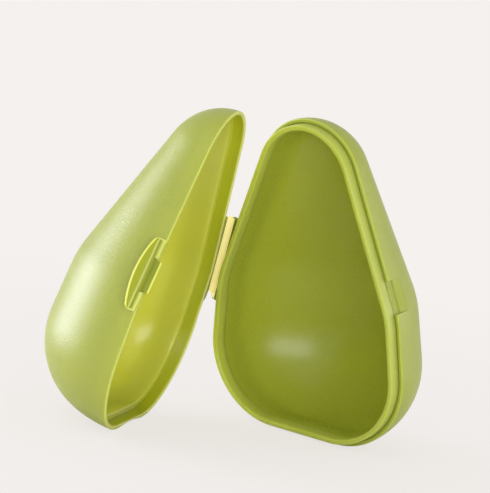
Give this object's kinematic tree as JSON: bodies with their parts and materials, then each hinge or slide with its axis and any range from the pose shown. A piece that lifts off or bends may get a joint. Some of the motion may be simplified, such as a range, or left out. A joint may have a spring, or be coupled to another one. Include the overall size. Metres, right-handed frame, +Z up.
{
  "type": "avocado saver case",
  "caption": "Pear-shaped hinged food saver case for half an avocado, with a base shell, a lid shell, a moulded strip hinge and a snap latch with a thumb tab.",
  "frame": {"origin": "centre of the open case's footprint box, on the floor", "axes": "+Z up, +X across the base from its hinge flank to its latch flank, and the base's opening faces -Y. The open case is longest along Y and shortest along X."},
  "size_m": [0.1248, 0.1402, 0.1277],
  "materials": {
    "shell_outside": "satin",
    "rim_lip": "satin",
    "shaded_trim": "satin",
    "hinge_strip": "satin"
  },
  "bodies": {
    "base": {"base_shell": "shell_outside", "base_rim_lip": "rim_lip", "base_catch": "shaded_trim", "base_hinge_flange": "shaded_trim", "hinge_strip": "hinge_strip"},
    "lid": {"lid_shell": "shell_outside", "lid_hinge_flange": "shaded_trim", "latch_thumb_tab": "shell_outside", "latch_tongue": "shaded_trim"}
  },
  "joints": [
    {"name": "lid_hinge", "type": "hinge", "parent": "base", "child": "lid", "pos_m": [-0.02895, 0.02024, 0.06398], "axis": [-0.2874, 0.1964, -0.9375], "range_deg": [-72.2, 107.8], "deforming": ["hinge_strip"]}
  ]
}
